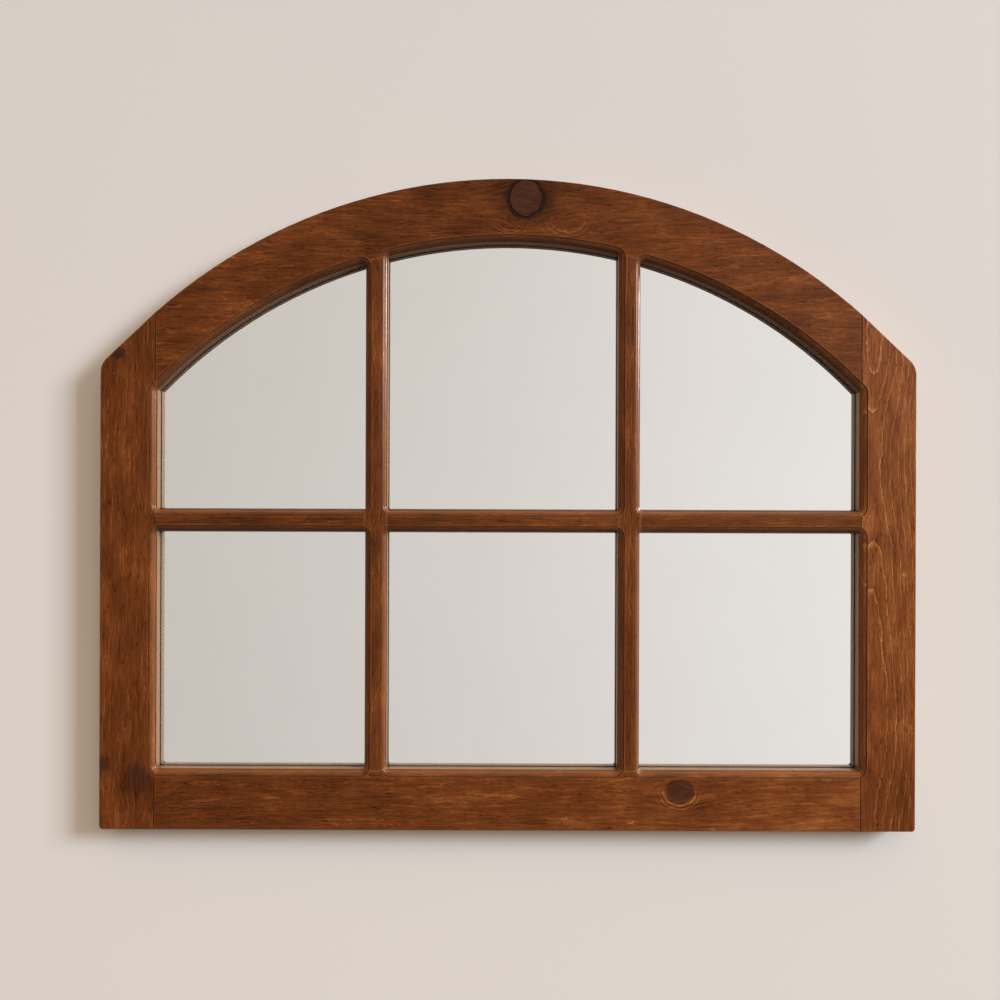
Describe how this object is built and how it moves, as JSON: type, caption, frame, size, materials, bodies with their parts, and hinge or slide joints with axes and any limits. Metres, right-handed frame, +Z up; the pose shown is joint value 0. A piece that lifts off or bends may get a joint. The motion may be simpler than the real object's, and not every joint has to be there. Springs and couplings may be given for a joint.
{
  "type": "arched window mirror",
  "caption": "Arched wall mirror built as a stained wood window frame with glazing bars over one mirror plate, hung by two swinging D rings.",
  "frame": {"origin": "in the wall's plane, midway between the two points where wall hooks carry the raised rings", "axes": "+Z up, +Y into the wall, +X to the right of someone who looks into the mirror"},
  "size_m": [1.168, 0.0415, 0.933],
  "materials": {
    "stained_pine": "walnut-brown stain under a thin satin varnish",
    "silvered_glass": "polished",
    "hardboard": "smooth brown hardboard",
    "beech": "plain",
    "zinc_plated_steel": "bright zinc plating",
    "black_rubber": "matt"
  },
  "bodies": {
    "root": {"left_stile": "stained_pine", "right_stile": "stained_pine", "arch_rail": "stained_pine", "bottom_rail": "stained_pine", "left_glazing_bar": "stained_pine", "right_glazing_bar": "stained_pine", "cross_bar": "stained_pine", "mirror_plate": "silvered_glass", "backing_board": "hardboard", "frame_dowels": "beech", "retainer_clips": "zinc_plated_steel", "clip_screws": "zinc_plated_steel", "left_hanger_strap": "zinc_plated_steel", "right_hanger_strap": "zinc_plated_steel", "left_hanger_screws": "zinc_plated_steel", "right_hanger_screws": "zinc_plated_steel", "left_bumper": "black_rubber", "right_bumper": "black_rubber"},
    "left_ring": {"left_hanger_ring": "zinc_plated_steel"},
    "right_ring": {"right_hanger_ring": "zinc_plated_steel"}
  },
  "joints": [
    {"name": "left_ring_swing", "type": "hinge", "parent": "root", "child": "left_ring", "pos_m": [-0.54975, -0.0036, -0.016], "axis": [1, 0, 0], "range_deg": [0, 180]},
    {"name": "right_ring_swing", "type": "hinge", "parent": "root", "child": "right_ring", "pos_m": [0.54975, -0.0036, -0.016], "axis": [1, 0, 0], "range_deg": [0, 180]}
  ]
}
